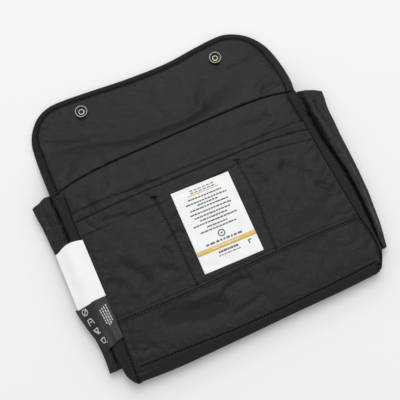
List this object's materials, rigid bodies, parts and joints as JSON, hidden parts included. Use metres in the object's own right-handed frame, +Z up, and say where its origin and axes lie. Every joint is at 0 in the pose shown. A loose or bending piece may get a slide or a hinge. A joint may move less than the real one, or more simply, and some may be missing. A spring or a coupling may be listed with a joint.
{
  "type": "flap pouch",
  "caption": "Black nylon flap pouch turned inside out and lying open, with bellows sides, an organiser pocket, a sewn label, tags and snap fasteners.",
  "frame": {"origin": "under the middle of the whole pouch, on the surface that it lies on", "axes": "+X across the pouch, +Y from its bottom seam towards its open flap, +Z up"},
  "size_m": [0.2906, 0.274, 0.0149],
  "materials": {
    "shell_nylon": "plain woven nylon, dull",
    "lining_nylon": "coated plain woven nylon, soft sheen",
    "pocket_nylon": "coated plain woven nylon, soft sheen",
    "gusset_nylon": "coated nylon, soft folds",
    "binding_tape": "ribbed grosgrain tape",
    "black_thread": "twisted polyester thread",
    "white_label": "white woven satin label",
    "black_satin": "glossy printed satin",
    "snap_metal": "nickel plated, slightly worn"
  },
  "bodies": {
    "front": {"front_panel_lining": "lining_nylon", "front_panel_shell": "shell_nylon", "front_binding_left": "binding_tape", "front_binding_right": "binding_tape", "front_binding_bottom": "binding_tape", "mouth_binding": "binding_tape", "gusset_left": "gusset_nylon", "gusset_right": "gusset_nylon", "gusset_bottom": "gusset_nylon", "snap_stud_left": "snap_metal", "snap_stud_right": "snap_metal", "stud_post_left": "snap_metal", "stud_post_right": "snap_metal"},
    "back": {"back_panel_lining": "lining_nylon", "back_panel_shell": "shell_nylon", "back_binding_left": "binding_tape", "back_binding_right": "binding_tape", "back_binding_bottom": "binding_tape", "organiser_pocket": "pocket_nylon", "woven_label": "white_label", "pocket_hem_stitch": "black_thread", "pocket_base_stitch": "black_thread", "pocket_divider_stitch_left": "black_thread", "pocket_divider_stitch_right": "black_thread", "pocket_bartack_left": "black_thread", "pocket_bartack_right": "black_thread"},
    "flap": {"flap_lining": "lining_nylon", "flap_shell": "shell_nylon", "flap_binding": "binding_tape", "flap_topstitch": "black_thread", "snap_socket_left": "snap_metal", "snap_socket_right": "snap_metal", "snap_spring_left": "snap_metal", "snap_spring_right": "snap_metal", "snap_cap_left": "snap_metal", "snap_cap_right": "snap_metal"},
    "white_tag": {"white_tag": "white_label"},
    "care_label": {"care_label": "black_satin"}
  },
  "joints": [
    {"name": "mouth_opening", "type": "hinge", "parent": "front", "child": "back", "pos_m": [0, -0.124, 0.0074], "axis": [1, 0, 0], "range_deg": [0, 18], "deforming": ["gusset_left", "gusset_right", "gusset_bottom"]},
    {"name": "flap_hinge", "type": "hinge", "parent": "back", "child": "flap", "pos_m": [0, 0.0555, 0.015], "axis": [1, 0, 0], "range_deg": [0, 180]},
    {"name": "white_tag_flip", "type": "hinge", "parent": "back", "child": "white_tag", "pos_m": [-0.113, -0.02675, 0.015], "axis": [0, 1, 0], "range_deg": [0, 170]},
    {"name": "care_label_flip", "type": "hinge", "parent": "back", "child": "care_label", "pos_m": [-0.113, -0.07535, 0.015], "axis": [0, 1, 0], "range_deg": [0, 170]}
  ]
}
